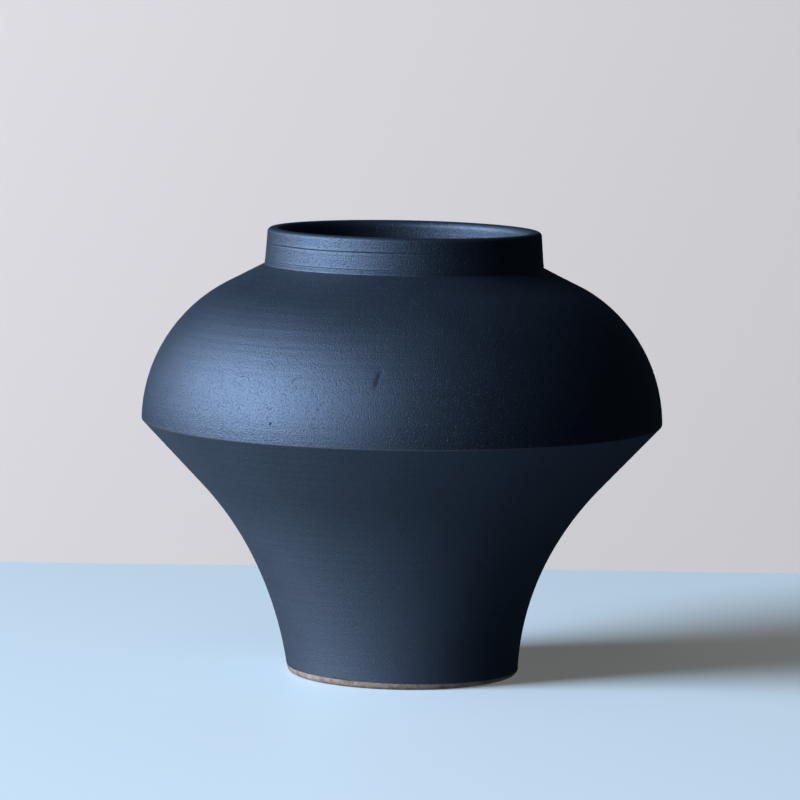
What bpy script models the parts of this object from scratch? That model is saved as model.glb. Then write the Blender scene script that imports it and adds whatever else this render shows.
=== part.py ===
"""A wheel-thrown pot in matt black glaze, made of the members that its potter lutes together.

Lengths are in metres and angles in degrees. The pot is turned round the Z axis, +Z is up, and
the origin is the middle of its underside. From the bottom up it is a slab of bare clay, a flared
lower wall, a shoulder dome that sits on the wall at the keel (the sharp edge where the pot is
widest), and a neck collar. The slab has a plug that centres the wall. A tongue in a groove
centres the dome and the collar. Two coils of clay, pressed into the corners inside, back the
joints at the floor and at the keel.

A section is a list of (radius, height) corners. Both walls are traced from the top down, so
their inner face is on the right of the line.
"""

from collections import namedtuple
from math import asin, atan2, ceil, cos, degrees, pi, radians, sin, sqrt, tan, tau

import bmesh
import bpy
from mathutils import Matrix, Vector

# Overall form
TOTAL_HEIGHT = 0.1969
KEEL_RADIUS = 0.115
KEEL_HEIGHT = 0.1123

# Bare clay slab under the pot
FOOT_RADIUS = 0.0515
BAND_HEIGHT = 0.003  # from the ground to the foot of the wall
FOOT_EDGE_ROUNDING = 0.0021
FLOOR_THICKNESS = 0.007  # from the ground to the top of the plug

# Flared lower wall: straight below the keel, then an arc down to the foot
KEEL_LEAN = 43.3  # from the vertical
KEEL_RUN = 0.0384  # length of the straight stretch
LOWER_WALL_THICKNESS = 0.0055

# Shoulder dome: straight at the neck, then an arc down to the keel
NECK_SLOPE = 27.5  # from the level
NECK_RUN = 0.0187  # length of the straight stretch
DOME_THICKNESS = 0.005

# Neck collar
NECK_RADIUS = 0.0615  # outside, at its root
NECK_HEIGHT = 0.016
NECK_TAPER = 0.0012  # how far the radius draws in from root to lip
NECK_THICKNESS = 0.0065
LIP_ROUNDING = 0.0018
SCORE_DROP = 0.0066  # from the top of the lip down to the scored line
SCORE_DEPTH = 0.0003

# Joints and the coils that back them
KEEL_GROOVE_DEPTH = 0.0014
NECK_GROOVE_DEPTH = 0.0011
KEEL_COIL_LEG = 0.009  # how far a coil reaches up or along each face
FOOT_COIL_LEG = 0.007
COIL_EDGE = 0.0008  # thickness left at a coil's thin edges
COIL_HOLLOW = 40.0  # how far a coil's hollow face turns
CLEARANCE = 0.0003

# Fineness of the round shapes
SEGMENTS = 64  # round the axis
WALL_FACET = 5.0  # largest turn from one facet of a section to the next
ROUNDING_FACET = 30.0
COIL_FACET = 8.0
WELD = 1e-6
SMOOTH_ANGLE = 20.0

# Surfaces: colour and roughness
BLACK_GLAZE = ((0.011, 0.015, 0.024, 1.0), 0.48)
BARE_CLAY = ((0.30, 0.22, 0.15, 1.0), 0.85)

Arc = namedtuple("Arc", "centre radius start end")


def on_circle(angle, radius):
    """Vector of that length at that angle above the outward direction."""
    return Vector((cos(angle), sin(angle))) * radius


def arc_from(start, heading, end):
    """Arc that leaves start along the unit vector heading and reaches end.

    Its radius is positive where the arc turns left and negative where it turns right.
    """
    chord = end - start
    turn = 2 * atan2(heading.cross(chord), heading.dot(chord))
    left = Vector((-heading.y, heading.x))
    radius = chord.length / (2 * sin(turn / 2))
    first = atan2(-left.y, -left.x) % tau
    return Arc(start + left * radius, radius, first, first + turn)


def arc_corners(arc, facet):
    """Corners along the arc, with both of its ends, at most facet degrees apart."""
    turn = arc.end - arc.start
    steps = max(1, ceil(round(abs(degrees(turn)) / facet, 3)))
    angles = [arc.start + turn * step / steps for step in range(steps + 1)]
    return [arc.centre + on_circle(angle, arc.radius) for angle in angles]


def set_in(arc, depth):
    """The same arc, moved to the right of its line by depth."""
    return arc._replace(radius=arc.radius + depth)


def angle_at(arc, height):
    """The angle at which a wall's arc is at that height."""
    return pi - asin((height - arc.centre.y) / arc.radius)


def radius_at(arc, height):
    """The distance from the axis at which a wall's arc is at that height."""
    return (arc.centre + on_circle(angle_at(arc, height), arc.radius)).x


def vee(radius, height, depth):
    """Corners of a right-angled groove or tongue that points down from a level rim."""
    return [
        Vector((radius - depth, height)),
        Vector((radius, height - depth)),
        Vector((radius + depth, height)),
    ]


def tongue_depth(groove_depth):
    """Depth of the tongue whose sides and rim keep the clearance in a groove of that depth."""
    return groove_depth - (sqrt(2) - 1) * CLEARANCE


# Lines and places that two pieces share
NECK_ROOT = TOTAL_HEIGHT - NECK_HEIGHT
NECK_BORE = NECK_RADIUS - NECK_THICKNESS
NECK_JOINT_RADIUS = NECK_RADIUS - NECK_THICKNESS / 2
KEEL_JOINT_RADIUS = KEEL_RADIUS - DOME_THICKNESS / 2

KEEL_HEADING = Vector((-sin(radians(KEEL_LEAN)), -cos(radians(KEEL_LEAN))))
KEEL_INWARD = Vector((KEEL_HEADING.y, -KEEL_HEADING.x))
KEEL_CORNER = Vector((KEEL_RADIUS, KEEL_HEIGHT))
RIM_WIDTH = LOWER_WALL_THICKNESS / cos(radians(KEEL_LEAN))
RIM_INNER_CORNER = KEEL_CORNER - Vector((RIM_WIDTH, 0))
WALL_FOOT = BAND_HEIGHT + CLEARANCE
LOWER_ARC = arc_from(
    KEEL_CORNER + KEEL_HEADING * KEEL_RUN, KEEL_HEADING, Vector((FOOT_RADIUS, WALL_FOOT))
)
LOWER_INNER_ARC = set_in(LOWER_ARC, LOWER_WALL_THICKNESS)
INSIDE_WALL_ARC = set_in(LOWER_INNER_ARC, CLEARANCE)

NECK_HEADING = Vector((cos(radians(NECK_SLOPE)), -sin(radians(NECK_SLOPE))))
DOME_TOP = Vector((NECK_RADIUS, NECK_ROOT))
DOME_FOOT = Vector((KEEL_RADIUS, KEEL_HEIGHT + CLEARANCE))
DOME_ARC = arc_from(DOME_TOP + NECK_HEADING * NECK_RUN, NECK_HEADING, DOME_FOOT)
DOME_INNER_ARC = set_in(DOME_ARC, DOME_THICKNESS)
INSIDE_DOME_ARC = set_in(DOME_INNER_ARC, CLEARANCE)


def base_disc():
    """Slab with a rounded edge, a flange that the wall stands on and a plug inside the wall."""
    rounding = min(FOOT_EDGE_ROUNDING, BAND_HEIGHT)
    middle = Vector((FOOT_RADIUS - rounding, rounding))
    return [
        Vector((0, FLOOR_THICKNESS)),
        Vector((radius_at(INSIDE_WALL_ARC, FLOOR_THICKNESS), FLOOR_THICKNESS)),
        Vector((radius_at(INSIDE_WALL_ARC, BAND_HEIGHT), BAND_HEIGHT)),
        Vector((FOOT_RADIUS, BAND_HEIGHT)),
        *arc_corners(Arc(middle, rounding, 0, -pi / 2), ROUNDING_FACET),
        Vector((0, 0)),
    ]


def lower_wall():
    """Flared wall between two arcs, with the keel's groove in its level rim."""
    inner = LOWER_INNER_ARC._replace(end=angle_at(LOWER_INNER_ARC, WALL_FOOT))
    return [
        RIM_INNER_CORNER,
        *vee(KEEL_JOINT_RADIUS, KEEL_HEIGHT, KEEL_GROOVE_DEPTH),
        KEEL_CORNER,
        *arc_corners(LOWER_ARC, WALL_FACET),
        *reversed(arc_corners(inner, WALL_FACET)),
    ]


def shoulder_dome():
    """Domed wall with a tongue at the keel and a level, grooved seat for the neck."""
    bore_run = DOME_TOP.x - NECK_BORE
    seat_depth = DOME_THICKNESS / cos(radians(NECK_SLOPE)) - bore_run * tan(radians(NECK_SLOPE))
    inner = DOME_INNER_ARC._replace(end=angle_at(DOME_INNER_ARC, DOME_FOOT.y))
    return [
        Vector((NECK_BORE, NECK_ROOT)),
        *vee(NECK_JOINT_RADIUS, NECK_ROOT, NECK_GROOVE_DEPTH),
        DOME_TOP,
        *arc_corners(DOME_ARC, WALL_FACET),
        *reversed(vee(KEEL_JOINT_RADIUS, DOME_FOOT.y, tongue_depth(KEEL_GROOVE_DEPTH))),
        *reversed(arc_corners(inner, WALL_FACET)),
        Vector((NECK_BORE, NECK_ROOT - seat_depth)),
    ]


def neck_radius_at(height):
    """Outside of the tapered collar at that height."""
    return NECK_RADIUS - NECK_TAPER * (height - NECK_ROOT) / NECK_HEIGHT


def neck_collar():
    """Tapered collar with a tongue underneath, a rounded lip and one scored line round it."""
    foot = NECK_ROOT + CLEARANCE
    score = TOTAL_HEIGHT - SCORE_DROP
    rounding = min(LIP_ROUNDING, NECK_THICKNESS / 2)
    outer = Vector((neck_radius_at(TOTAL_HEIGHT) - rounding, TOTAL_HEIGHT - rounding))
    inner = outer - Vector((NECK_THICKNESS - 2 * rounding, 0))
    return [
        *reversed(vee(NECK_JOINT_RADIUS, foot, tongue_depth(NECK_GROOVE_DEPTH))),
        Vector((NECK_BORE, foot)),
        *arc_corners(Arc(inner, rounding, pi, pi / 2), ROUNDING_FACET),
        *arc_corners(Arc(outer, rounding, pi / 2, 0), ROUNDING_FACET),
        Vector((neck_radius_at(score + SCORE_DEPTH), score + SCORE_DEPTH)),
        Vector((neck_radius_at(score) - SCORE_DEPTH, score)),
        Vector((neck_radius_at(score - SCORE_DEPTH), score - SCORE_DEPTH)),
        Vector((neck_radius_at(foot), foot)),
    ]


def smoothed_face(toe, brow):
    """Hollow face that a potter's finger leaves along a coil, from its toe up to its brow."""
    heading = Matrix.Rotation(-radians(COIL_HOLLOW) / 2, 2) @ (brow - toe).normalized()
    return arc_corners(arc_from(toe, heading, brow), COIL_FACET)


def foot_seam_coil():
    """Coil smoothed into the corner between the floor and the lower wall."""
    bed = FLOOR_THICKNESS + CLEARANCE
    low = Vector((radius_at(INSIDE_WALL_ARC, bed), bed))
    top = bed + FOOT_COIL_LEG
    high = Vector((radius_at(INSIDE_WALL_ARC, top), top))
    toe = low - Vector((FOOT_COIL_LEG, 0))
    face = smoothed_face(toe + Vector((0, COIL_EDGE)), high - Vector((COIL_EDGE, 0)))
    return [low, toe, *face, high]


def keel_seam_coil():
    """Coil smoothed over the inside of the keel, from the lower wall up on to the dome."""
    bed = KEEL_HEIGHT + CLEARANCE
    low = Vector((radius_at(INSIDE_DOME_ARC, bed), bed))
    top = bed + KEEL_COIL_LEG
    high = Vector((radius_at(INSIDE_DOME_ARC, top), top))
    slope = RIM_INNER_CORNER + KEEL_INWARD * CLEARANCE
    ledge_radius = min(low.x, slope.x + KEEL_HEADING.x / KEEL_HEADING.y * (bed - slope.y))
    ledge = slope + KEEL_HEADING * ((ledge_radius - slope.x) / KEEL_HEADING.x)
    toe = ledge + KEEL_HEADING * KEEL_COIL_LEG
    face = smoothed_face(toe + KEEL_INWARD * COIL_EDGE, high - Vector((COIL_EDGE, 0)))
    return [ledge, toe, *face, high, low]


def surface(name, finish):
    """Plain material of that finish."""
    colour, roughness = finish
    material = bpy.data.materials.new(name)
    material.use_nodes = True
    shader = material.node_tree.nodes["Principled BSDF"]
    shader.inputs["Base Color"].default_value = colour
    shader.inputs["Roughness"].default_value = roughness
    shader.inputs["Metallic"].default_value = 0.0
    return material


def turned(name, section, finish, pot):
    """Object turned round the Z axis from a section, which is open where it starts on the axis."""
    shape = bmesh.new()
    corners = [shape.verts.new((radius, 0, height)) for radius, height in section]
    pairs = list(zip(corners, corners[1:]))
    if section[0].x > 0:
        pairs.append((corners[-1], corners[0]))
    outline = [shape.edges.new(pair) for pair in pairs]
    bmesh.ops.spin(
        shape,
        geom=corners + outline,
        cent=(0, 0, 0),
        axis=(0, 0, 1),
        angle=tau,
        steps=SEGMENTS,
        use_merge=True,
    )
    bmesh.ops.remove_doubles(shape, verts=shape.verts, dist=WELD)
    bmesh.ops.recalc_face_normals(shape, faces=shape.faces)
    mesh = bpy.data.meshes.new(name)
    shape.to_mesh(mesh)
    shape.free()
    mesh.shade_smooth()
    mesh.set_sharp_from_angle(angle=radians(SMOOTH_ANGLE))
    mesh.materials.append(surface(name + "_surface", finish))
    piece = bpy.data.objects.new(name, mesh)
    piece.parent = pot
    bpy.context.scene.collection.objects.link(piece)


def main():
    for old in list(bpy.data.objects):
        bpy.data.objects.remove(old)
    pot = bpy.data.objects.new("pot", None)
    bpy.context.scene.collection.objects.link(pot)
    turned("base_disc", base_disc(), BARE_CLAY, pot)
    turned("lower_wall", lower_wall(), BLACK_GLAZE, pot)
    turned("shoulder_dome", shoulder_dome(), BLACK_GLAZE, pot)
    turned("neck_collar", neck_collar(), BLACK_GLAZE, pot)
    turned("foot_seam_coil", foot_seam_coil(), BLACK_GLAZE, pot)
    turned("keel_seam_coil", keel_seam_coil(), BLACK_GLAZE, pot)


main()
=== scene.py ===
"""Looks of a wheel-thrown pot in matt black glaze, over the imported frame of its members.

Lengths are in metres and angles in degrees. The pot is turned round the Z axis and stands on
Z = 0; the camera looks along +Y. A section is a list of corners, and a Geometry Nodes tree
turns it into a closed piece. One finished piece stands for each member of the frame.
"""

from collections import namedtuple
from math import asin, atan, atan2, ceil, cos, degrees, pi, radians, sin, tan, tau

import bpy
from mathutils import Matrix, Vector


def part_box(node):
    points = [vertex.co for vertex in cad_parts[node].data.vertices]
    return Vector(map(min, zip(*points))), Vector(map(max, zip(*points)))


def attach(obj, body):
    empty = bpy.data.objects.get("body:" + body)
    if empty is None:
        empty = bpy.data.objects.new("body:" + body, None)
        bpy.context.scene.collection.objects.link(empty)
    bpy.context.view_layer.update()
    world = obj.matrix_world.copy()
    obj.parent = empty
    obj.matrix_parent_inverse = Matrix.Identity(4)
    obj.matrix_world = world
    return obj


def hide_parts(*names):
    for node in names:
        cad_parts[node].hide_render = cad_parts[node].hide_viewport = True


# Form of the walls, as the members are made
KEEL_LEAN = 43.3  # of the lower wall under the keel, from the vertical
KEEL_RUN = 0.0384  # length of its straight stretch
LOWER_WALL_THICKNESS = 0.0055
NECK_SLOPE = 27.5  # of the dome at the neck, from the level
NECK_RUN = 0.0187
DOME_THICKNESS = 0.005
NECK_TAPER = 0.0012
NECK_THICKNESS = 0.0065
FLOOR_THICKNESS = 0.007
KEEL_COIL_LEG = 0.0095
FOOT_COIL_LEG = 0.0075
COIL_HOLLOW = 40.0  # turn of the hollow that the finger leaves along a coil
COIL_EDGE = 0.0004
COIL_SINK = 0.0006
COIL_RINGS = 0.00012
ROOT_STUB = 0.0016  # of the neck's foot, drawn up from the dome's own clay
BORE_DROP = 0.003  # how far under the root the bore turns out into the dome
KEEL_STUB = 0.004  # stretch of wall that the keel's rounding is worked out with
WALL_LEDGE = 0.0007  # inner edge of the wall's foot, over its outer edge
DISC_LEDGE = 0.0006
DISC_IN_SKIN = 0.8  # share of the glaze skin by which the slab stands back under it
FLOOR_GAP = 0.0003
SLIVER = 0.0001  # kept between faces that would otherwise lie on each other
HAIR = 1e-7  # slack when heights are compared
SAME_PLACE = 2e-6
COIL_END_ROWS = 3  # left smooth at each end of a coil's face

# Edges that the glaze softens
KEEL_ROUNDING = 0.0009
ROOT_ROUNDING = 0.0007
LIP_ROUNDING = 0.0019  # outside
LIP_INNER_ROUNDING = 0.0029
BORE_ROUNDING = 0.002
FOOT_ROUNDING = 0.0021
WORN_REACH = 0.0011  # how far from the keel the glaze is worn thin

# Trimmed underside, and the glazed floor inside
STAND_WIDTH = 0.006
STAND_SLOPE = 0.0012
TRIMMED_IN = 0.0005
TRIM_RINGS = 0.00022
TRIM_FADE = 0.004  # the rings fade out towards the middle
FLOOR_SKIN = 0.0004
FLOOR_RINGS = 0.0003
FLOOR_FADE = 0.003

# Glaze skin at the foot: it ends in a wavy line over the bare slab
SKIN = 0.00028
HEM_HEIGHT = 0.00235
HEM_TILT = 0.0008
HEM_WAVE = 0.0003
HEM_WAVES = 75.0  # to the metre
HEM_HIGHEST = 222.0  # angle round the axis from +X, as for every place round the pot
HEM_FACETS = 6

# Lines scored round the neck
SCORE_DROP = 0.0066  # under the lip
SCORE_HALF = 0.00034
SCORE_DEPTH = 0.00024
SCORE_DEEPEST = 236.0
SCORE_LEAST = 0.12  # share of the depth left on the far side
SCORE_FADE = 4.0  # power of the cosine by which it fades on the way there
# rise over the line in half widths, and share of the depth; the burr stands out over the cut
SCORE_PROFILE = ((3.2, 0), (2.2, 0.35), (1.3, 0.35), (0.7, -0.35), (0, -1), (-0.8, -0.4), (-1.6, 0))
ROOT_LINE_RISE = 0.0020  # over the root
ROOT_LINE_DEPTH = 0.00012
ROOT_LINE_WIDTH = 0.6  # against the line above

# Marks of the wheel
OUTSIDE_RINGS = 0.000022
NECK_RINGS = 0.6  # against those on the walls
INSIDE_RINGS = 0.00028
RINGS_FADE = 0.004  # towards both ends of a wall's outside
NECK_RINGS_OVER = 0.002  # clear of them over the foot of the neck
NECK_RINGS_UNDER = 0.003  # and under the lip
RINGLESS_UNDER_NECK = 0.006  # inside
RINGLESS_UNDER_KEEL = 0.012
RINGLESS_OVER_STAND = 0.02
RING_SPACING = 0.0046
TRIM_SPACING = 0.0034
FLOOR_SPACING = 0.0062
COIL_SPACING = 0.0026
RING_STRAY = 9.0  # how far a ring strays from its turn, as an angle
RING_STRAY_WAVES = 0.7  # to the turn
RING_WAVES = 30.0  # to the metre, of the strength with which they show
RING_STRENGTH = 1.6
WOBBLE = 0.00012
WOBBLE_WAVES = 14.0  # to the metre
WOBBLE_SEED = 3.0
FOOT_SWING = 0.00186  # how far the foot was trimmed off the middle, towards +X
SWING_REACH = 0.060
NECK_DIP = 0.0006  # how far the neck sags on the +X side
NECK_DIP_FROM = 0.166
NECK_DIP_TO = 0.180

# A thumb touched the dome while it was damp, and the glaze burst in two pinholes beside it
TOUCH_ANGLE = 264.4
TOUCH_HEIGHT = 0.1411
TOUCH_WIDTH = 0.0013
TOUCH_LENGTH = 0.0046
TOUCH_SLANT = 0.28
TOUCH_DEPTH = 0.00014
TOUCH_BLEND = 0.2
PINHOLE_DEPTH = 0.0006
PINHOLES = ((241.2, 0.1211, 0.00050), (244.7, 0.1209, 0.00028))  # angle, height, radius
PINHOLE_RIM = 1.15  # against the radius: where it begins, and where it is at its full depth
PINHOLE_CORE = 0.7

# Grit in the dry glaze
GRIT_PER_AREA = 22000.0
GRIT_SMALLEST = 0.00008
GRIT_LARGEST = 0.00020
GRIT_FLATNESS = 0.35
GRIT_FROM = 0.012
GRIT_UNDER_KEEL = 0.003

# Fineness
STEPS_ROUND = 540
FOOT_COIL_STEPS = 300
KEEL_COIL_STEPS = 360
CROWDING = 0.45  # of the steps towards the thumb mark
FINE_ROW = 0.001
COARSE_ROW = 0.0035
BORE_ROW = 0.0012
NECK_ROW = 0.0008
TRIM_ROW = 0.0011
FLOOR_ROW = 0.0009
COIL_ROW = 0.0007
JOINED_WITHIN = 1e-6
SHARP_FROM = 38.0  # angle between faces
ROUNDING_FACET = 9.0
ROUNDING_CLEAR = 1.15  # of its reach, kept free of other corners

# Camera
AIM = Vector((0, 0, 0.100))
AIM_DISTANCE = 1.9
AIM_ELEVATION = 6.84
AIM_RIGHT = 0.000373  # tangents of the angles from the middle of the view to the aim
AIM_DOWN = 0.010996
CAMERA_ROLL = 0.84
FOCAL_LENGTH = 193.16
SENSOR_WIDTH = 36.0

Corner = namedtuple("Corner", "place rings worn hem score touch", defaults=(0.0,) * 5)
Arc = namedtuple("Arc", "centre radius start end")
MARKS = ("run", "rings", "worn", "hem", "score", "touch")

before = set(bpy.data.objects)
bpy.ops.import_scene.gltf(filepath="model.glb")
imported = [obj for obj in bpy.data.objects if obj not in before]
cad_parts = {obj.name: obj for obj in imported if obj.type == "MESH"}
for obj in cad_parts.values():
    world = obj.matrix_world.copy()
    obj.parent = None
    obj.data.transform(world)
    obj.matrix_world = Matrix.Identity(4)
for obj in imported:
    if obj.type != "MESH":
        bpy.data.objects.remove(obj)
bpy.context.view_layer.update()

# Places read from the frame
DISC_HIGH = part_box("base_disc")[1]
WALL_LOW, WALL_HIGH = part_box("lower_wall")
DOME_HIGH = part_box("shoulder_dome")[1]
NECK_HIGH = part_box("neck_collar")[1]
FOOT_RADIUS = DISC_HIGH.x
KEEL_RADIUS = WALL_HIGH.x
KEEL_HEIGHT = WALL_HIGH.z
WALL_FOOT = WALL_LOW.z
NECK_RADIUS = NECK_HIGH.x
NECK_ROOT = DOME_HIGH.z
TOTAL_HEIGHT = NECK_HIGH.z


# ---------------------------------------------------------------- lines of the section


def on_circle(angle, radius):
    return Vector((cos(angle), sin(angle))) * radius


def arc_from(start, heading, end):
    """Arc that leaves start along heading and reaches end; left turns have a positive radius."""
    chord = end - start
    turn = 2 * atan2(heading.cross(chord), heading.dot(chord))
    left = Vector((-heading.y, heading.x))
    radius = chord.length / (2 * sin(turn / 2))
    first = atan2(-left.y, -left.x) % tau
    return Arc(start + left * radius, radius, first, first + turn)


def arc_places(arc, row):
    """Places along the arc, with both of its ends, at most a row apart."""
    turn = arc.end - arc.start
    steps = max(1, ceil(abs(turn * arc.radius) / row))
    angles = [arc.start + turn * i / steps for i in range(steps + 1)]
    return [arc.centre + on_circle(angle, arc.radius) for angle in angles]


def set_in(arc, depth):
    return arc._replace(radius=arc.radius + depth)


def angle_at(arc, height):
    return pi - asin((height - arc.centre.y) / arc.radius)


def on_wall(arc, height):
    """Distance from the axis at which a wall's arc is at that height."""
    return (arc.centre + on_circle(angle_at(arc, height), arc.radius)).x


def straight(start, end, row):
    """Places along a straight line, with both of its ends, at most a row apart."""
    steps = max(1, ceil((end - start).length / row))
    return [start.lerp(end, i / steps) for i in range(steps + 1)]


def rounded(line, index, radius):
    """The same line with its corner at that index rounded off."""
    index %= len(line)
    corner = line[index]
    back = (line[index - 1] - corner).normalized()
    ahead = (line[index + 1] - corner).normalized()
    half = back.angle(ahead) / 2
    reach = radius / tan(half)
    middle = corner + (back + ahead).normalized() * (radius / sin(half))
    first = corner + back * reach - middle
    last = corner + ahead * reach - middle
    turn = atan2(first.cross(last), first.dot(last))
    steps = max(2, ceil(abs(degrees(turn)) / ROUNDING_FACET))
    begin = atan2(first.y, first.x)
    bend = [middle + on_circle(begin + turn * i / steps, radius) for i in range(steps + 1)]
    clear = reach * ROUNDING_CLEAR
    before = [p for p in line[:index] if (p - corner).length > clear]
    after = [p for p in line[index + 1 :] if (p - corner).length > clear]
    return before + bend + after


def plain(places, **marks):
    return [Corner(place, **marks) for place in places]


def without_doubles(section):
    kept = [section[0]]
    for corner in section[1:]:
        if (corner.place - kept[-1].place).length > SAME_PLACE:
            kept.append(corner)
    return kept


KEEL_CORNER = Vector((KEEL_RADIUS, KEEL_HEIGHT))
KEEL_HEADING = Vector((-sin(radians(KEEL_LEAN)), -cos(radians(KEEL_LEAN))))
KEEL_INWARD = Vector((KEEL_HEADING.y, -KEEL_HEADING.x))
LOWER_ARC = arc_from(
    KEEL_CORNER + KEEL_HEADING * KEEL_RUN, KEEL_HEADING, Vector((FOOT_RADIUS, WALL_FOOT))
)
LOWER_INNER_ARC = set_in(LOWER_ARC, LOWER_WALL_THICKNESS)
NECK_HEADING = Vector((cos(radians(NECK_SLOPE)), -sin(radians(NECK_SLOPE))))
DOME_TOP = Vector((NECK_RADIUS, NECK_ROOT))
DOME_ARC = arc_from(DOME_TOP + NECK_HEADING * NECK_RUN, NECK_HEADING, KEEL_CORNER)
DOME_INNER_ARC = set_in(DOME_ARC, DOME_THICKNESS)
BORE_RADIUS = NECK_RADIUS - NECK_THICKNESS
INNER_KEEL = Vector((KEEL_RADIUS - LOWER_WALL_THICKNESS / cos(radians(KEEL_LEAN)), KEEL_HEIGHT))


def dome_outline():
    """Outside of the dome from the neck to the keel, and on down the straight of the wall."""
    top = [DOME_TOP + Vector((0, ROOT_STUB)), DOME_TOP + Vector((0, ROOT_STUB / 2))]
    slope = straight(DOME_TOP, DOME_TOP + NECK_HEADING * NECK_RUN, FINE_ROW)
    flank = arc_places(DOME_ARC, FINE_ROW)[1:]
    below = straight(KEEL_CORNER, KEEL_CORNER + KEEL_HEADING * KEEL_STUB, FINE_ROW)[1:]
    line = top + slope + flank + below
    keel = len(top) + len(slope) + len(flank) - 1
    return rounded(rounded(line, keel, KEEL_ROUNDING), len(top), ROOT_ROUNDING)


KEEL_SEAM = min(dome_outline(), key=lambda p: -p.x)


def worn_near_keel(place):
    return max(0.0, 1 - (place - KEEL_SEAM).length / WORN_REACH)


def rings_outside(from_ends):
    """Depth of the rings on a wall's outside, at that distance from the nearer end."""
    return OUTSIDE_RINGS * min(1, max(0, from_ends / RINGS_FADE))


def shoulder_dome():
    """Closed section of the dome: outside down to the keel, then back up the inside."""
    outside = [p for p in dome_outline() if p.y >= KEEL_SEAM.y - HAIR]
    corners = []
    for place in outside:
        rings = rings_outside(min(place.y - KEEL_SEAM.y, outside[0].y - place.y))
        touch = max(0.0, 1 - abs(place.y - TOUCH_HEIGHT) / TOUCH_LENGTH)
        corners.append(Corner(place, rings, worn_near_keel(place), touch=touch))
    bore_foot = Vector((BORE_RADIUS, NECK_ROOT - BORE_DROP))
    inner = DOME_INNER_ARC._replace(end=angle_at(DOME_INNER_ARC, KEEL_SEAM.y))
    inside = [Vector((BORE_RADIUS, outside[0].y)), bore_foot, *arc_places(inner, COARSE_ROW)]
    inside = rounded(inside, 1, BORE_ROUNDING)
    top_ring = NECK_ROOT - RINGLESS_UNDER_NECK
    marked = [Corner(p, INSIDE_RINGS if p.y < top_ring else 0.0) for p in inside]
    return corners + marked[::-1] + corners[:1]


def lower_wall():
    """Closed section of the lower wall, whose glaze hangs over the slab as a thin hem."""
    below = [p for p in dome_outline() if p.y <= KEEL_SEAM.y + HAIR]
    flank = straight(below[-1], KEEL_CORNER + KEEL_HEADING * KEEL_RUN, FINE_ROW)[1:]
    outside = below + flank + arc_places(LOWER_ARC, FINE_ROW)[1:]
    corners = []
    for place in outside:
        rings = rings_outside(min(KEEL_SEAM.y - place.y, place.y - WALL_FOOT))
        corners.append(Corner(place, rings, worn_near_keel(place)))
    foot = corners[-1].place.x
    edge = SKIN / 2
    hem = Vector((foot - edge, HEM_HEIGHT + edge))
    skirt = [Corner(Vector((foot, HEM_HEIGHT + edge)), hem=1.0)]
    bends = [-pi * i / HEM_FACETS for i in range(1, HEM_FACETS)]
    skirt += [Corner(hem + on_circle(bend, edge), hem=1.0) for bend in bends]
    skirt += [Corner(Vector((foot - SKIN, HEM_HEIGHT + edge)), hem=1.0)]
    ledge = WALL_FOOT + WALL_LEDGE
    skirt += [Corner(Vector((foot - SKIN - SLIVER, ledge)))]
    inner = LOWER_INNER_ARC._replace(end=angle_at(LOWER_INNER_ARC, ledge))
    bend = inner.centre + on_circle(inner.start, inner.radius)
    inside = [*straight(INNER_KEEL, bend, COARSE_ROW), *arc_places(inner, COARSE_ROW)]
    inside = [p for p in inside if p.y < KEEL_SEAM.y - SLIVER]
    inside.insert(0, Vector((INNER_KEEL.x, KEEL_SEAM.y)))
    top_ring = KEEL_HEIGHT - RINGLESS_UNDER_KEEL
    marked = [Corner(p, INSIDE_RINGS if RINGLESS_OVER_STAND < p.y < top_ring else 0.0) for p in inside]
    return corners + skirt + marked[::-1] + corners[:1]


def scored(height, half, depth):
    """Corners of one line scored into the clay, with a small burr thrown up over it."""
    corners = []
    for rise, share in SCORE_PROFILE:
        level = height + rise * half
        corners.append(Corner(Vector((neck_radius_at(level), level)), score=share * depth))
    return corners


def neck_radius_at(height):
    share = (height - NECK_ROOT) / (TOTAL_HEIGHT - NECK_ROOT)
    return NECK_RADIUS - NECK_TAPER * share


def neck_collar():
    """Closed section of the neck: over the lip, down the outside, and up the bore."""
    foot = dome_outline()[0]
    lip_outer = Vector((neck_radius_at(TOTAL_HEIGHT), TOTAL_HEIGHT))
    lip_inner = lip_outer - Vector((NECK_THICKNESS, 0))
    bore = straight(Vector((BORE_RADIUS, foot.y)), lip_inner, BORE_ROW)
    lip = rounded([*bore, lip_outer, foot], len(bore) - 1, LIP_INNER_ROUNDING)
    lip = rounded(lip, -2, LIP_ROUNDING)
    lines = scored(TOTAL_HEIGHT - SCORE_DROP, SCORE_HALF, SCORE_DEPTH)
    lines += scored(NECK_ROOT + ROOT_LINE_RISE, SCORE_HALF * ROOT_LINE_WIDTH, ROOT_LINE_DEPTH)
    stops = [Corner(lip[-2]), *lines, Corner(foot)]
    corners = plain(lip[:-2])
    for start, end in zip(stops, stops[1:]):
        corners.append(start)
        if start.score == end.score == 0:
            corners += plain(straight(start.place, end.place, NECK_ROW)[1:-1])
    corners += [stops[-1], corners[0]]
    low, high = foot.y + NECK_RINGS_OVER, TOTAL_HEIGHT - NECK_RINGS_UNDER
    depth = OUTSIDE_RINGS * NECK_RINGS
    return [c._replace(rings=depth * (low < c.place.y < high)) for c in corners]


FLOOR_EDGE = on_wall(LOWER_INNER_ARC, FLOOR_THICKNESS) - FLOOR_GAP


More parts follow.
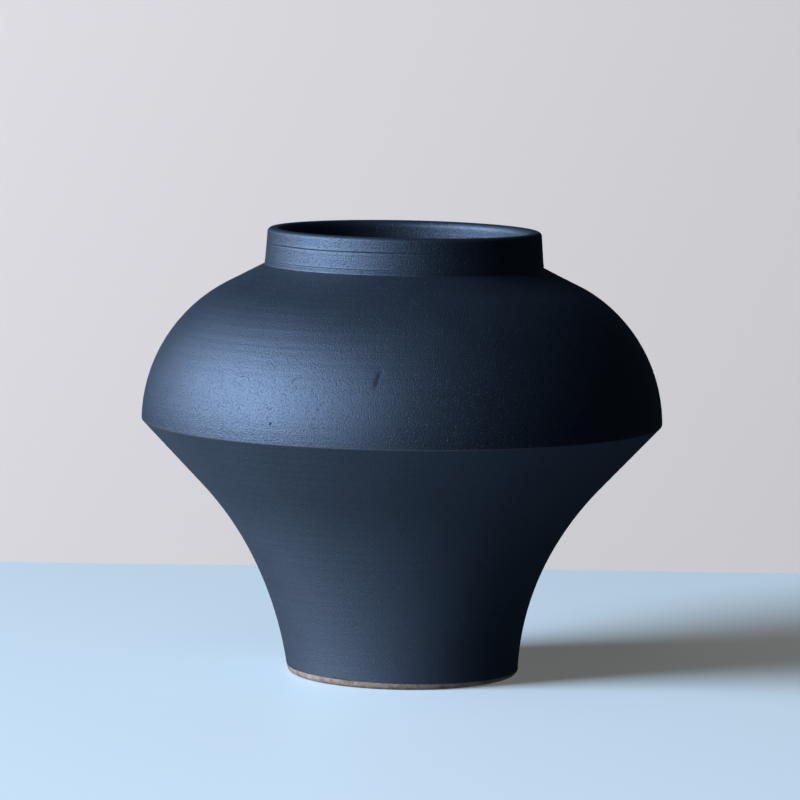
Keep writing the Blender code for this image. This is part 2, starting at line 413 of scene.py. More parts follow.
def base_disc():
    """Section of the bare slab, from the middle of its top round to the middle of its underside."""
    side = FOOT_RADIUS - SKIN * DISC_IN_SKIN
    stand = side - STAND_WIDTH
    ledge = WALL_FOOT + DISC_LEDGE
    top = [(0, FLOOR_THICKNESS), (FLOOR_EDGE, FLOOR_THICKNESS), (FLOOR_EDGE, ledge), (side, ledge)]
    stands_on = [(side, 0), (stand, 0), (stand - STAND_SLOPE, TRIMMED_IN)]
    line = [Vector(corner) for corner in top + stands_on]
    corners = plain(rounded(line, len(top), FOOT_ROUNDING))
    under = straight(line[-1], Vector((0, TRIMMED_IN)), TRIM_ROW)[1:]
    return corners + [Corner(p, TRIM_RINGS * min(1, p.x / TRIM_FADE)) for p in under]


def floor_glaze():
    """Section of the glaze that lies over the slab inside, from its middle out to the wall."""
    top = FLOOR_THICKNESS + FLOOR_SKIN
    corners = []
    for place in straight(Vector((0, top)), Vector((FLOOR_EDGE, top)), FLOOR_ROW):
        from_edge = max(0, FLOOR_EDGE - FLOOR_FADE - place.x)
        share = min(1, place.x / FLOOR_FADE, from_edge / FLOOR_FADE)
        corners.append(Corner(place, FLOOR_RINGS * share))
    under = FLOOR_THICKNESS - SLIVER
    return corners + plain([Vector((FLOOR_EDGE, under)), Vector((0, under))])


def smoothed_face(toe, brow):
    """Hollow face that a finger leaves along a coil, from its toe up to its brow."""
    heading = Matrix.Rotation(-radians(COIL_HOLLOW) / 2, 2) @ (brow - toe).normalized()
    return arc_places(arc_from(toe, heading, brow), COIL_ROW)


def coil(toe, brow, back):
    """Closed section of a coil pressed into an inside corner, with the finger's ridges on it."""
    face = smoothed_face(toe, brow)
    first, last = COIL_END_ROWS, len(face) - COIL_END_ROWS
    ridged = [Corner(p, COIL_RINGS if first <= i < last else 0.0) for i, p in enumerate(face)]
    return ridged + plain([*back, face[0]])


def foot_seam_coil():
    bed = FLOOR_THICKNESS + SLIVER
    low = Vector((on_wall(LOWER_INNER_ARC, bed) + COIL_SINK, bed))
    top = bed + FOOT_COIL_LEG
    high = Vector((on_wall(LOWER_INNER_ARC, top), top))
    toe = Vector((low.x - COIL_SINK - FOOT_COIL_LEG, bed + FLOOR_SKIN))
    back = [high + Vector((COIL_SINK, 0)), low, Vector((toe.x, bed))]
    return coil(toe, high - Vector((COIL_EDGE, 0)), back)


def keel_seam_coil():
    bed = KEEL_HEIGHT
    top = bed + KEEL_COIL_LEG
    high = Vector((on_wall(DOME_INNER_ARC, top), top))
    slope = INNER_KEEL + KEEL_HEADING * KEEL_COIL_LEG
    rim = Vector((on_wall(DOME_INNER_ARC, bed) + COIL_SINK, bed))
    back = [high + Vector((COIL_SINK, 0)), rim, slope - KEEL_INWARD * COIL_SINK]
    return coil(slope + KEEL_INWARD * COIL_EDGE, high - Vector((COIL_EDGE, 0)), back)


# ---------------------------------------------------------------- node trees


class Bench:
    """A node tree with short ways to add and join nodes."""

    def __init__(self, tree):
        self.tree = tree

    def add(self, kind, feeds=None, **settings):
        made = self.tree.nodes.new(kind)
        for name, value in settings.items():
            setattr(made, name, value)
        for place, value in (feeds or {}).items():
            self.feed(made.inputs[place], value)
        return made

    def feed(self, socket, value):
        """Joins another socket to this one, or sets it to a plain value."""
        if isinstance(value, bpy.types.NodeSocket):
            self.tree.links.new(value, socket)
        else:
            socket.default_value = value

    def maths(self, operation, *values, clamp=False):
        feeds = dict(enumerate(values))
        return self.add("ShaderNodeMath", feeds, operation=operation, use_clamp=clamp).outputs[0]

    def vector(self, x, y, z):
        return self.add("ShaderNodeCombineXYZ", {0: x, 1: y, 2: z}).outputs[0]

    def split(self, vector):
        return self.add("ShaderNodeSeparateXYZ", {0: vector}).outputs

    def scaled(self, vector, scale):
        feeds = {0: vector, "Scale": scale}
        return self.add("ShaderNodeVectorMath", feeds, operation="SCALE").outputs[0]

    def summed(self, first, second):
        feeds = {0: first, 1: second}
        return self.add("ShaderNodeVectorMath", feeds, operation="ADD").outputs[0]

    def product(self, *values):
        made = values[0]
        for value in values[1:]:
            made = self.maths("MULTIPLY", made, value)
        return made

    def named(self, name):
        """What an earlier node stored under that name."""
        feeds = {"Name": name}
        return self.add("GeometryNodeInputNamedAttribute", feeds, data_type="FLOAT").outputs[0]

    def stored(self, mesh, name, value):
        feeds = {"Geometry": mesh, "Name": name, "Value": value}
        return self.add("GeometryNodeStoreNamedAttribute", feeds, data_type="FLOAT").outputs[0]

    def noise(self, vector, scale, detail=2.0, roughness=0.5, seed=0.0):
        feeds = {"Vector": vector, "W": seed, "Scale": scale, "Detail": detail, "Roughness": roughness}
        return self.add("ShaderNodeTexNoise", feeds, noise_dimensions="4D").outputs[0]


def new_tree(name, inputs):
    """Geometry Nodes tree with those named inputs; returns its bench and the input sockets."""
    tree = bpy.data.node_groups.new(name, "GeometryNodeTree")
    tree.interface.new_socket("Geometry", in_out="INPUT", socket_type="NodeSocketGeometry")
    for label, kind in inputs:
        tree.interface.new_socket(label, in_out="INPUT", socket_type="NodeSocket" + kind)
    tree.interface.new_socket("Geometry", in_out="OUTPUT", socket_type="NodeSocketGeometry")
    bench = Bench(tree)
    return bench, bench.add("NodeGroupInput").outputs


def close_tree(bench, geometry, material):
    realized = bench.add("GeometryNodeRealizeInstances", {"Geometry": geometry}).outputs[0]
    dressed = bench.add("GeometryNodeSetMaterial", {"Geometry": realized, "Material": material})
    bench.add("NodeGroupOutput", {"Geometry": dressed.outputs[0]})


def wheel_tree():
    """Tree that turns a section on the wheel and leaves the wheel's marks on the clay."""
    bench, given = new_tree("wheel", [
        ("Steps Round", "Int"), ("Ring Spacing", "Float"), ("Wobble", "Float"),
        ("Hem Tilt", "Float"), ("Hem Wave", "Float"), ("Hem Highest", "Float"),
        ("Foot Swing", "Float"), ("Swing Reach", "Float"), ("Neck Dip", "Float"),
        ("Score Deepest", "Float"), ("Score Least", "Float"),
        ("Touch Angle", "Float"), ("Touch Height", "Float"), ("Touch Width", "Float"),
        ("Touch Slant", "Float"), ("Touch Depth", "Float"), ("Crowding", "Float"),
        ("Seed", "Float"), ("Finish", "Material"),
    ])
    section = given["Geometry"]
    sized = bench.add("GeometryNodeAttributeDomainSize", {"Geometry": section}, component="MESH")
    count = sized.outputs[0]
    grid = bench.add("GeometryNodeMeshGrid", {
        "Size X": 1.0, "Size Y": 1.0, "Vertices X": bench.maths("ADD", given["Steps Round"], 1),
        "Vertices Y": count,
    }).outputs["Mesh"]
    across = bench.split(bench.add("GeometryNodeInputPosition").outputs[0])
    even = bench.product(bench.maths("ADD", across[0], 0.5), tau)
    # the steps crowd together towards the thumb mark
    pull = bench.maths("SINE", bench.maths("SUBTRACT", even, given["Touch Angle"]))
    angle = bench.maths("SUBTRACT", even, bench.product(pull, given["Crowding"]))
    row = bench.product(bench.maths("ADD", across[1], 0.5), bench.maths("SUBTRACT", count, 1))
    index = bench.add("FunctionNodeFloatToInt", {0: row}, rounding_mode="ROUND").outputs[0]

    def from_section(value, kind):
        node = bench.add("GeometryNodeSampleIndex", {"Geometry": section}, data_type=kind, domain="POINT")
        bench.feed(node.inputs["Value"], value)
        bench.feed(node.inputs["Index"], index)
        return node.outputs[0]

    corner = bench.add("GeometryNodeInputPosition").outputs[0]
    place = bench.split(from_section(corner, "FLOAT_VECTOR"))
    turned = bench.vector(
        bench.product(place[0], bench.maths("COSINE", angle)),
        bench.product(place[0], bench.maths("SINE", angle)),
        place[2],
    )
    mesh = grid
    for mark in MARKS:
        mesh = bench.stored(mesh, mark, from_section(bench.named(mark), "FLOAT"))
    mesh = bench.add("GeometryNodeSetPosition", {"Geometry": mesh, "Position": turned}).outputs[0]
    joined = bench.add("GeometryNodeMergeByDistance", {"Geometry": mesh, "Distance": JOINED_WITHIN})
    mesh = joined.outputs[0]

    spot = bench.add("GeometryNodeInputPosition").outputs[0]
    x, y, z = bench.split(spot)
    around = bench.maths("ARCTAN2", y, x)
    seed = given["Seed"]

    # a slow wander of the whole wall, the same on every piece, straight out from the axis
    level = bench.vector(x, y, 0.0)
    outward = bench.add("ShaderNodeVectorMath", {0: level}, operation="NORMALIZE").outputs[0]
    wander = bench.maths("SUBTRACT", bench.noise(spot, WOBBLE_WAVES, 1.0, 0.5, WOBBLE_SEED), 0.5)
    wander = bench.product(wander, bench.product(given["Wobble"], 2.0))
    # lines scored while the wheel turned, deep where the tool bit
    facing = bench.maths("COSINE", bench.maths("SUBTRACT", around, given["Score Deepest"]))
    bite = bench.maths("POWER", bench.maths("MAXIMUM", facing, 0.0), SCORE_FADE)
    cut = bench.product(bench.named("score"), bench.maths("MAXIMUM", bite, given["Score Least"]))
    # the thumb's dent, which leans
    touch_x = bench.maths("COSINE", given["Touch Angle"])
    touch_y = bench.maths("SINE", given["Touch Angle"])
    rise = bench.maths("SUBTRACT", z, given["Touch Height"])
    along = bench.maths("SUBTRACT", bench.product(y, touch_x), bench.product(x, touch_y))
    lean = bench.maths("SUBTRACT", along, bench.product(rise, given["Touch Slant"]))
    beside = bench.maths("ABSOLUTE", bench.maths("DIVIDE", lean, given["Touch Width"]))
    front = bench.maths("ADD", bench.product(y, touch_y), bench.product(x, touch_x))
    inner = bench.maths("SUBTRACT", 1.0, beside, clamp=True)
    inner = bench.product(inner, bench.maths("GREATER_THAN", front, 0.0))
    press = bench.maths("SMOOTH_MIN", inner, bench.named("touch"), TOUCH_BLEND)
    press = bench.maths("MULTIPLY", bench.maths("MAXIMUM", press, 0.0), 2.0, clamp=True)
    mesh = bench.stored(mesh, "pressed", press)
    cut = bench.maths("SUBTRACT", cut, bench.product(bench.named("pressed"), given["Touch Depth"]))
    offset = bench.scaled(outward, bench.maths("ADD", wander, cut))
    # rings left by the fingers, a spiral that fades in and out
    turns = bench.maths("DIVIDE", bench.named("run"), given["Ring Spacing"])
    stray = bench.noise(bench.vector(0.0, 0.0, turns), RING_STRAY_WAVES, 2.0, 0.5, seed)
    stray = bench.product(stray, RING_STRAY)
    phase = bench.maths("ADD", bench.product(turns, tau), bench.maths("ADD", around, stray))
    strength = bench.product(bench.noise(spot, RING_WAVES, 2.0, 0.5, seed), RING_STRENGTH)
    ring = bench.product(bench.maths("SINE", phase), bench.product(strength, bench.named("rings")))
    normal = bench.add("GeometryNodeInputNormal").outputs[0]
    offset = bench.summed(offset, bench.scaled(normal, ring))
    # the glaze line at the foot, higher on one side and a little wavy
    tilt = bench.maths("COSINE", bench.maths("SUBTRACT", around, given["Hem Highest"]))
    wave = bench.maths("SUBTRACT", bench.noise(spot, HEM_WAVES, 3.0, 0.55, seed), 0.5)
    lift = bench.maths("ADD", bench.product(tilt, given["Hem Tilt"]),
                       bench.product(wave, bench.product(given["Hem Wave"], 2.0)))
    lift = bench.product(lift, bench.named("hem"))
    # the foot stands a little off the middle, and the neck sags a little on that side
    low = bench.maths("SUBTRACT", 1.0, bench.maths("DIVIDE", z, given["Swing Reach"]), clamp=True)
    swing = bench.product(low, low, given["Foot Swing"])
    side = bench.maths("ADD", 0.5, bench.product(bench.maths("COSINE", around), 0.5))
    feeds = {"Value": z, "From Min": NECK_DIP_FROM, "From Max": NECK_DIP_TO}
    high = bench.add("ShaderNodeMapRange", feeds, interpolation_type="SMOOTHSTEP").outputs[0]
    dip = bench.product(bench.product(side, side), bench.product(high, given["Neck Dip"]))
    offset = bench.summed(offset, bench.vector(swing, 0.0, bench.maths("SUBTRACT", lift, dip)))
    mesh = bench.add("GeometryNodeSetPosition", {"Geometry": mesh, "Offset": offset}).outputs[0]
    close_tree(bench, mesh, given["Finish"])
    return bench.tree


def grit_tree():
    """Tree that sprinkles low grains of grit over a piece between two heights."""
    bench, given = new_tree("grit", [
        ("Grains Per Area", "Float"), ("Smallest", "Float"), ("Largest", "Float"),
        ("From Height", "Float"), ("To Height", "Float"), ("Seed", "Int"), ("Finish", "Material"),
    ])
    x, y, height = bench.split(bench.add("GeometryNodeInputPosition").outputs[0])
    normal = bench.add("GeometryNodeInputNormal").outputs[0]
    feeds = {0: bench.vector(x, y, 0.0), 1: normal}
    out = bench.add("ShaderNodeVectorMath", feeds, operation="DOT_PRODUCT").outputs["Value"]
    between = bench.product(bench.maths("GREATER_THAN", height, given["From Height"]),
                            bench.maths("LESS_THAN", height, given["To Height"]))
    dots = bench.add("GeometryNodeDistributePointsOnFaces", {
        "Mesh": given["Geometry"], "Density": given["Grains Per Area"], "Seed": given["Seed"],
        "Selection": bench.product(between, bench.maths("GREATER_THAN", out, 0.0)),
    }, distribute_method="RANDOM")
    grain = bench.add("GeometryNodeMeshIcoSphere", {"Radius": 1.0, "Subdivisions": 1}).outputs[0]
    feeds = {"Min": given["Smallest"], "Max": given["Largest"], "Seed": given["Seed"]}
    size = bench.add("FunctionNodeRandomValue", feeds, data_type="FLOAT").outputs["Value"]
    grains = bench.add("GeometryNodeInstanceOnPoints", {
        "Points": dots.outputs["Points"], "Instance": grain, "Rotation": dots.outputs["Rotation"],
        "Scale": bench.vector(size, size, bench.product(size, GRIT_FLATNESS)),
    })
    close_tree(bench, grains.outputs[0], given["Finish"])
    return bench.tree


def worked(piece, tree, sizes):
    """Runs a tree on a piece with those named sizes, and leaves a plain mesh."""
    modifier = piece.modifiers.new(tree.name, "NODES")
    modifier.node_group = tree
    for item in tree.interface.items_tree:
        if item.in_out == "INPUT" and item.name in sizes:
            modifier[item.identifier] = sizes[item.name]
    depsgraph = bpy.context.evaluated_depsgraph_get()
    mesh = bpy.data.meshes.new_from_object(
        piece.evaluated_get(depsgraph), preserve_all_data_layers=True, depsgraph=depsgraph
    )
    piece.modifiers.clear()
    piece.data = mesh
    return piece


def thrown(name, section, finish, steps=STEPS_ROUND, seed=1.0, spacing=RING_SPACING):
    """Closed piece turned from a section of corners."""
    section = without_doubles(section)
    mesh = bpy.data.meshes.new(name)
    mesh.from_pydata([(c.place.x, 0, c.place.y) for c in section],
                     [(i, i + 1) for i in range(len(section) - 1)], [])
    run = [0.0]
    for a, b in zip(section, section[1:]):
        run.append(run[-1] + (b.place - a.place).length)
    for mark in MARKS:
        values = run if mark == "run" else [getattr(corner, mark) for corner in section]
        mesh.attributes.new(mark, "FLOAT", "POINT").data.foreach_set("value", values)
    piece = bpy.data.objects.new(name, mesh)
    bpy.context.scene.collection.objects.link(piece)
    worked(piece, WHEEL, {
        "Steps Round": steps, "Ring Spacing": spacing, "Wobble": WOBBLE, "Hem Tilt": HEM_TILT,
        "Hem Wave": HEM_WAVE, "Hem Highest": radians(HEM_HIGHEST), "Foot Swing": FOOT_SWING,
        "Swing Reach": SWING_REACH, "Neck Dip": NECK_DIP, "Score Deepest": radians(SCORE_DEEPEST),
        "Score Least": SCORE_LEAST, "Touch Angle": radians(TOUCH_ANGLE), "Touch Height": TOUCH_HEIGHT,
        "Touch Width": TOUCH_WIDTH, "Touch Slant": TOUCH_SLANT, "Touch Depth": TOUCH_DEPTH,
        "Crowding": CROWDING, "Seed": seed, "Finish": finish,
    })
    return finished(piece)


def finished(piece):
    """Turns the faces outwards and smooths all but the sharp edges."""
    mesh = piece.data
    mesh.calc_loop_triangles()
    places = [vertex.co for vertex in mesh.vertices]
    volume = 0.0
    for triangle in mesh.loop_triangles:
        a, b, c = (places[i] for i in triangle.vertices)
        volume += a.dot(b.cross(c))
    if volume < 0:
        mesh.flip_normals()
    mesh.shade_smooth()
    mesh.set_sharp_from_angle(angle=radians(SHARP_FROM))
    return piece


# ---------------------------------------------------------------- finishes

# Waves, or cells, to the metre
FINE_GRAIN = 2600.0
COARSE_GRAIN = 1350.0
SPECKS = 1700.0
BREAKS = 260.0  # in the worn line of the keel
CLOUDS = 34.0
LINES_ROUND = 9.0  # the faint lines run round the pot, so they change far faster with height
LINES_UP = 780.0
SMALL_PITS = 1250.0
LARGE_PITS = 800.0
CLAY_CLOUDS = 140.0
CLAY_BLOTCHES = 420.0
CLAY_GRIT = 1700.0
CLAY_IRON = 520.0
GRIT_SHADES = 800.0

# Colours, in linear light
# painted shade in the pits and pinholes; the thumb's dent is coloured as dark
PIT_SHADE_AND_DENT = (0.0025, 0.0028, 0.0035, 1)
# painted light: pale bluish colour that stands in for the bright floor's light and reflection on the
# lower wall's overhang
PAINTED_FLOOR_SHEEN = (0.026, 0.034, 0.048, 1)
BROKEN_GLAZE = (0.022, 0.018, 0.018, 1)  # where it runs thin and the clay's iron shows
SATIN_TINT = (0.56, 0.71, 1.0, 1)
DRY_TINT = (0.65, 0.75, 1.0, 1)
BROWN_CLAY = (0.150, 0.090, 0.066, 1)
BUFF_CLAY = (0.270, 0.195, 0.150, 1)
PALE_CLAY = (0.31, 0.245, 0.20, 1)
IRON_SPOT = (0.035, 0.024, 0.02, 1)
DARK_SAND = (0.05, 0.055, 0.06, 1)
PALE_SAND = (0.26, 0.27, 0.29, 1)

# Weights of each pattern in the glaze
COARSE_RELIEF = 0.8  # against the fine grain
PIT_RELIEF = 0.9
# share of painted shade in the pits
PIT_SHADE_SHARE = 0.7
PALE_SHARE = 0.6
ROUGH_CLOUDS = 0.12
ROUGH_GRAIN = 0.14
ROUGH_PITS = 0.45
GLASS_IOR = 1.52
SHEEN_FROM = 0.020  # height at which the painted floor light begins
SHEEN_TO = 0.108  # and at which it is full
CLAY_RELIEF = 0.00016


def new_finish(name):
    material = bpy.data.materials.new(name)
    material.use_nodes = True
    bench = Bench(material.node_tree)
    return material, bench, material.node_tree.nodes["Principled BSDF"]


def mixed(bench, share, first, second):
    feeds = {0: share, 6: first, 7: second}
    return bench.add("ShaderNodeMix", feeds, data_type="RGBA").outputs[2]


def ramp(bench, value, low, high):
    """0 under low, 1 over high, straight between."""
    node = bench.add("ShaderNodeMapRange", {"Value": value, "From Min": low, "From Max": high})
    return node.outputs[0]


def pit_pattern(bench, spot, scale, share, near, far):
    """1 in round pits over that share of the cells; near and far are a pit's core and rim."""
    cells = bench.add("ShaderNodeTexVoronoi", {"Vector": spot, "Scale": scale}, feature="F1")
    chosen = ramp(bench, bench.split(cells.outputs["Color"])[0], 1 - share, 1 - share + 0.02)
    return bench.product(ramp(bench, cells.outputs["Distance"], far, near), chosen)


def pinhole_pattern(bench, spot):
    """1 in the few pinholes that burst in the glaze of the dome."""
    total = 0.0
    for angle, height, radius in PINHOLES:
        out = on_circle(radians(angle), on_wall(DOME_ARC, height))
        feeds = {0: spot, 1: (out.x, out.y, height)}
        away = bench.add("ShaderNodeVectorMath", feeds, operation="DISTANCE").outputs["Value"]
        total = bench.maths("ADD", total, ramp(bench, away, radius * PINHOLE_RIM, radius * PINHOLE_CORE))
    return total


def glaze(name, colour, pale, tint, roughness, grain, pitted, lines, seed, floor_sheen=0.0):
    """Black glaze: granular, pitted, with faint lines round it, mottled, and thin over edges.

    The grain is a height, and pitted and lines weigh the pits and lines against it. Floor sheen is the
    share of a pale bluish colour painted on as the bright floor's light and reflection, full under the
    keel and gone near the foot.
    """
    material, bench, shader = new_finish(name)
    spot = bench.add("ShaderNodeTexCoord").outputs["Object"]
    x, y, z = bench.split(spot)
    fine = bench.noise(spot, FINE_GRAIN, 2.0, 0.6, seed)
    coarse = bench.noise(spot, COARSE_GRAIN, 2.0, 0.55, seed + 1)
    cloud = bench.noise(spot, CLOUDS, 4.0, 0.6, seed + 2)
    stretched = bench.vector(bench.product(x, LINES_ROUND), bench.product(y, LINES_ROUND),
                             bench.product(z, LINES_UP))
    rings = bench.noise(stretched, 1.0, 3.0, 0.6, seed + 3)
    small = pit_pattern(bench, spot, SMALL_PITS, share=0.42, near=0.10, far=0.34)
    large = pit_pattern(bench, spot, LARGE_PITS, share=0.08, near=0.10, far=0.30)
    pits = bench.product(bench.maths("MAXIMUM", small, large), pitted)
    pinholes = pinhole_pattern(bench, spot)
    speck = ramp(bench, bench.noise(spot, SPECKS, 2.0, 0.6, seed + 6), 0.50, 0.72)
    worn = bench.add("ShaderNodeAttribute", attribute_name="worn").outputs["Fac"]
    pressed = bench.add("ShaderNodeAttribute", attribute_name="pressed").outputs["Fac"]
    gaps = ramp(bench, bench.noise(spot, BREAKS, 3.0, 0.6, seed + 5), 0.30, 0.60)

    height = bench.maths("ADD", fine, bench.product(coarse, COARSE_RELIEF))
    height = bench.maths("ADD", height, bench.product(rings, lines))
    height = bench.maths("SUBTRACT", height, bench.product(pits, PIT_RELIEF))
    height = bench.maths("SUBTRACT", height, bench.product(pinholes, PINHOLE_DEPTH / grain))
    bump = bench.add("ShaderNodeBump", {"Height": height, "Strength": 1.0, "Distance": grain})

    # painted shade: the pits and pinholes are coloured near-black as shade in hollows, and the thumb's
    # dent is coloured as dark
    pit_shade_and_dent = bench.maths("MAXIMUM", bench.product(pits, PIT_SHADE_SHARE),
                       bench.maths("MAXIMUM", pressed, pinholes))
    body = mixed(bench, bench.product(bench.maths("ADD", cloud, speck), PALE_SHARE), colour, pale)
    # painted light: the lower wall is painted paler and bluer towards the keel, where it leans out over
    # the bright floor
    painted_sheen = bench.product(ramp(bench, z, SHEEN_FROM, SHEEN_TO), floor_sheen)
    body = mixed(bench, painted_sheen, body, PAINTED_FLOOR_SHEEN)
    body = mixed(bench, bench.product(worn, gaps), body, BROKEN_GLAZE)
    body = mixed(bench, pit_shade_and_dent, body, PIT_SHADE_AND_DENT)

    rough = bench.product(bench.maths("SUBTRACT", cloud, 0.5), ROUGH_CLOUDS)
    rough = bench.maths("ADD", rough, roughness)
    uneven = bench.product(bench.maths("SUBTRACT", coarse, 0.5), ROUGH_GRAIN)
    rough = bench.maths("ADD", rough, uneven)
    rough = bench.maths("ADD", rough, bench.product(pit_shade_and_dent, ROUGH_PITS), clamp=True)

    bench.feed(shader.inputs["Base Color"], body)
    bench.feed(shader.inputs["Roughness"], rough)
    bench.feed(shader.inputs["Normal"], bump.outputs[0])
    shader.inputs["Specular Tint"].default_value = tint
    shader.inputs["Specular IOR Level"].default_value = 1.0
    shader.inputs["IOR"].default_value = GLASS_IOR
    return material


def bare_clay():
    """Fired stoneware without glaze: buff and brown, gritty, with dark iron spots."""
    material, bench, shader = new_finish("bare_stoneware")
    spot = bench.add("ShaderNodeTexCoord").outputs["Object"]
    cloud = bench.noise(spot, CLAY_CLOUDS, 4.0, 0.65, 21.0)
    blotch = bench.noise(spot, CLAY_BLOTCHES, 3.0, 0.6, 23.0)
    grit = bench.noise(spot, CLAY_GRIT, 3.0, 0.6, 22.0)
    iron = pit_pattern(bench, spot, CLAY_IRON, share=0.20, near=0.12, far=0.34)
    body = mixed(bench, ramp(bench, cloud, 0.35, 0.65), BROWN_CLAY, BUFF_CLAY)
    body = mixed(bench, bench.product(ramp(bench, blotch, 0.45, 0.62), 0.7), body, PALE_CLAY)
    body = mixed(bench, bench.product(iron, 0.8), body, IRON_SPOT)
    bump = bench.add("ShaderNodeBump", {"Height": grit, "Strength": 0.9, "Distance": CLAY_RELIEF})
    bench.feed(shader.inputs["Base Color"], body)
    bench.feed(shader.inputs["Roughness"], bench.maths("ADD", bench.product(grit, 0.1), 0.8))
    bench.feed(shader.inputs["Normal"], bump.outputs[0])
    shader.inputs["Specular IOR Level"].default_value = 0.25
    return material


def pale_grit():
    """Grains of pale sand that the dry glaze didn't take up."""
    material, bench, shader = new_finish("pale_grit")
    spot = bench.add("ShaderNodeTexCoord").outputs["Object"]
    shade = bench.noise(spot, GRIT_SHADES, 2.0, 0.5, 41.0)
    bench.feed(shader.inputs["Base Color"], mixed(bench, shade, DARK_SAND, PALE_SAND))
    shader.inputs["Roughness"].default_value = 0.6
    return material


def backdrop_finish(name, colour, roughness, specular, clear_behind=False):
    """Plain finish of a sheet of the stage, which may be clear when seen from behind."""
    material, bench, shader = new_finish(name)
    shader.inputs["Base Color"].default_value = colour
    shader.inputs["Roughness"].default_value = roughness
    shader.inputs["Specular IOR Level"].default_value = specular
    if clear_behind:
        clear = bench.add("ShaderNodeBsdfTransparent").outputs[0]
        behind = bench.add("ShaderNodeNewGeometry").outputs["Backfacing"]
        both = bench.add("ShaderNodeMixShader", {0: behind, 1: shader.outputs[0], 2: clear})
        bench.feed(bench.tree.nodes["Material Output"].inputs[0], both.outputs[0])
    return material


# ---------------------------------------------------------------- the pot

SATIN = glaze("satin_black_glaze", (0.005, 0.008, 0.014, 1), (0.014, 0.019, 0.028, 1), SATIN_TINT,
              roughness=0.49, grain=0.00018, pitted=0.7, lines=0.4, seed=1.0)
# the dry glaze is painted paler towards the keel, as painted floor light
DRY = glaze("dry_black_glaze", (0.006, 0.008, 0.012, 1), (0.017, 0.022, 0.031, 1), DRY_TINT,
            roughness=0.60, grain=0.00014, pitted=0.5, lines=0.3, seed=11.0, floor_sheen=0.8)
INSIDE = glaze("inside_black_glaze", (0.008, 0.011, 0.017, 1), (0.014, 0.018, 0.026, 1), SATIN_TINT,
               roughness=0.42, grain=0.00010, pitted=0.5, lines=0.5, seed=31.0)
CLAY = bare_clay()
PALE_GRIT = pale_grit()

WHEEL = wheel_tree()
GRIT = grit_tree()
POT = []


def own(piece, node):
    """Takes a piece into the pot, standing for that member of the frame."""
    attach(piece, "root")
    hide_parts(node)
    POT.append(piece)


def sprinkled(name, piece, finish, seed):
    """Grains strewn over a copy of a piece's outside, as one mesh."""
    grains = bpy.data.objects.new(name, piece.data.copy())
    bpy.context.scene.collection.objects.link(grains)
    return worked(grains, GRIT, {
        "Grains Per Area": GRIT_PER_AREA, "Smallest": GRIT_SMALLEST, "Largest": GRIT_LARGEST,
        "From Height": GRIT_FROM, "To Height": KEEL_HEIGHT - GRIT_UNDER_KEEL,
        "Seed": seed, "Finish": finish,
    })


wall = thrown("glazed_lower_wall", lower_wall(), DRY, seed=4.0)
own(wall, "lower_wall")
own(thrown("glazed_shoulder_dome", shoulder_dome(), SATIN, seed=1.0), "shoulder_dome")
own(thrown("glazed_neck_collar", neck_collar(), SATIN, seed=2.0), "neck_collar")
disc = thrown("bare_base_disc", base_disc(), CLAY, seed=5.0, spacing=TRIM_SPACING)
own(disc, "base_disc")
own(thrown("glazed_floor", floor_glaze(), INSIDE, seed=6.0, spacing=FLOOR_SPACING),
    "base_disc")
own(thrown("glazed_foot_seam_coil", foot_seam_coil(), INSIDE, FOOT_COIL_STEPS, 7.0, COIL_SPACING),
    "foot_seam_coil")
own(thrown("glazed_keel_seam_coil", keel_seam_coil(), INSIDE, KEEL_COIL_STEPS, 8.0, COIL_SPACING),
    "keel_seam_coil")
own(sprinkled("pale_grit", wall, PALE_GRIT, 9), "lower_wall")

# ---------------------------------------------------------------- stage, light and camera


def sheet(name, corners, finish):
    mesh = bpy.data.meshes.new(name)
    mesh.from_pydata(corners, [], [(0, 1, 2, 3)])
    mesh.materials.append(finish)
    made = bpy.data.objects.new(name, mesh)
    bpy.context.scene.collection.objects.link(made)
    return made


BACKDROP = 0.310  # how far behind the axis the wall stands
SIDE = 1.6  # half the width of the floor and of the wall
REACH = 2.2  # half the length of the floor
CEILING = 1.8  # height of the wall
PALE_BLUE = (0.62, 0.725, 0.80, 1)
PALE_PLASTER = (0.66, 0.560, 0.51, 1)
floor = sheet("floor", [(-SIDE, -REACH, 0), (SIDE, -REACH, 0), (SIDE, REACH, 0), (-SIDE, REACH, 0)],
              backdrop_finish("pale_floor", PALE_BLUE, roughness=0.38, specular=0.45))
plaster = backdrop_finish("pale_wall", PALE_PLASTER, roughness=0.9, specular=0.1, clear_behind=True)
wall_behind = sheet("wall_behind", [(-SIDE, BACKDROP, 0), (SIDE, BACKDROP, 0),
                                    (SIDE, BACKDROP, CEILING), (-SIDE, BACKDROP, CEILING)], plaster)
# the stage sends nothing back on to the pot, as if black flags stood round it
for backing in (floor, wall_behind):
    backing.visible_shadow = False
    backing.visible_diffuse = False
    backing.visible_glossy = False


def lit_together(name, members):
    """Collection of the pieces that a light is kept to."""
    together = bpy.data.collections.new(name)
    for member in members:
        together.objects.link(member)
    return together


STAGE_ONLY = lit_together("stage_only", [floor, wall_behind])
POT_ONLY = lit_together("pot_only", POT)
FOOT_ONLY = lit_together("foot_only", [wall, disc])


def window(name, kept_to, turn, rise, away, size, power, colour):
    """Large soft light that faces the pot from that turn, left of the camera, and that rise."""
    data = bpy.data.lights.new(name, "AREA")
    data.shape = "RECTANGLE"
    data.size, data.size_y = size
    data.energy = power
    data.color = colour
    made = bpy.data.objects.new(name, data)
    level = cos(radians(rise))
    back = Vector((-level * sin(radians(turn)), -level * cos(radians(turn)), sin(radians(rise))))
    made.location = AIM + back * away
    made.rotation_euler = back.to_track_quat("Z", "Y").to_euler()
    made.light_linking.receiver_collection = kept_to
    bpy.context.scene.collection.objects.link(made)
    return made


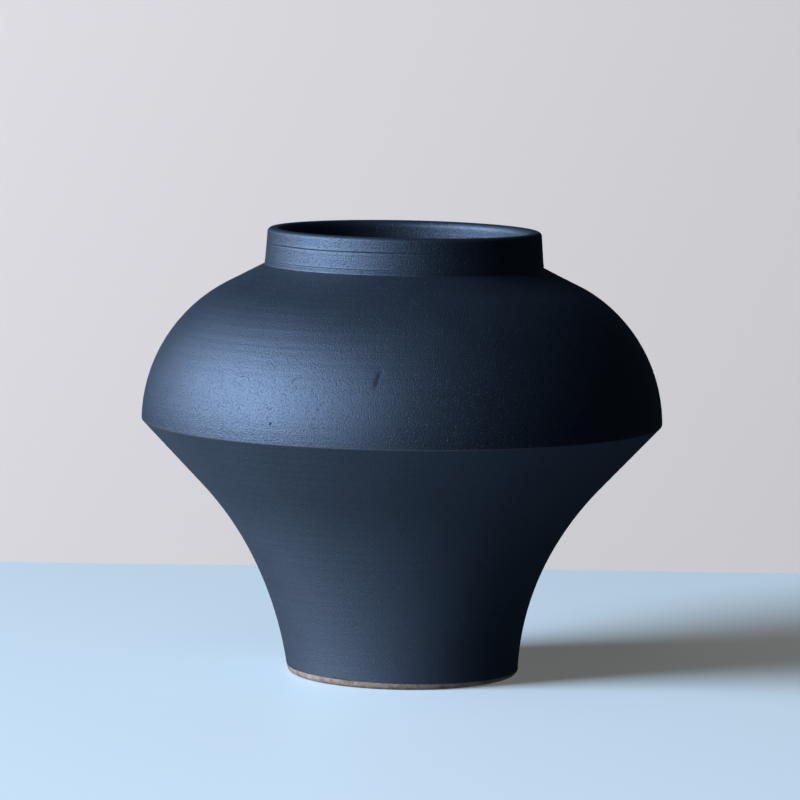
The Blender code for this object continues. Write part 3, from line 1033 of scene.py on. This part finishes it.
DAYLIGHT = (0.68, 0.83, 1.0)
WARM_ROOM = (1.0, 0.86, 0.716)
FLOOR_GLOW = (0.62, 0.83, 1.0)  # what the floor would send up on to the foot
FRONT_GLOW = (0.50, 0.75, 1.0)
DIM_ROOM = (0.45, 0.70, 1.0, 1)
DIM_STRENGTH = 0.03
PALE_ROOM = (0.72, 0.71, 0.75, 1)
window("window", POT_ONLY,
       turn=67, rise=20, away=5.2, size=(4.9, 2.6), power=760, colour=DAYLIGHT)
window("side_window", POT_ONLY,
       turn=105, rise=20, away=5.2, size=(1.5, 2.6), power=120, colour=DAYLIGHT)
window("floor_glow", FOOT_ONLY,
       turn=75, rise=-30, away=2.0, size=(2.0, 1.0), power=13, colour=FLOOR_GLOW)
window("front_glow", FOOT_ONLY,
       turn=0, rise=-35, away=2.0, size=(1.5, 1.0), power=8.5, colour=FRONT_GLOW)
window("stage_window", STAGE_ONLY,
       turn=68, rise=19, away=5.2, size=(2.4, 1.6), power=860, colour=DAYLIGHT)
fill = window("stage_fill", STAGE_ONLY,
              turn=40, rise=60, away=4.0, size=(4.0, 4.0), power=77, colour=WARM_ROOM)
fill.data.use_shadow = False


def room_light():
    """Dim light from all round, behind which the camera sees a pale room."""
    world = bpy.data.worlds.new("room")
    world.use_nodes = True
    bench = Bench(world.node_tree)
    dim = world.node_tree.nodes["Background"]
    dim.inputs[0].default_value = DIM_ROOM
    dim.inputs[1].default_value = DIM_STRENGTH
    pale = bench.add("ShaderNodeBackground", {0: PALE_ROOM, 1: 1.0}).outputs[0]
    seen = bench.add("ShaderNodeLightPath").outputs["Is Camera Ray"]
    both = bench.add("ShaderNodeMixShader", {0: seen, 1: dim.outputs[0], 2: pale})
    bench.feed(world.node_tree.nodes["World Output"].inputs[0], both.outputs[0])
    bpy.context.scene.world = world


def camera():
    lens = bpy.data.cameras.new("camera")
    lens.lens = FOCAL_LENGTH
    lens.sensor_width = SENSOR_WIDTH
    lens.clip_start, lens.clip_end = 0.05, 20
    made = bpy.data.objects.new("camera", lens)
    rise = radians(AIM_ELEVATION)
    place = AIM + Vector((0, -cos(rise), sin(rise))) * AIM_DISTANCE
    aimed = (AIM - place).to_track_quat("-Z", "Y").to_matrix()
    turned = aimed @ Matrix.Rotation(radians(CAMERA_ROLL), 3, "Z")
    turned = turned @ Matrix.Rotation(atan(AIM_RIGHT), 3, "Y")
    turned = turned @ Matrix.Rotation(atan(AIM_DOWN), 3, "X")
    made.matrix_world = Matrix.Translation(place) @ turned.to_4x4()
    bpy.context.scene.collection.objects.link(made)
    bpy.context.scene.camera = made


room_light()
camera()
bpy.context.scene.view_settings.view_transform = "Standard"
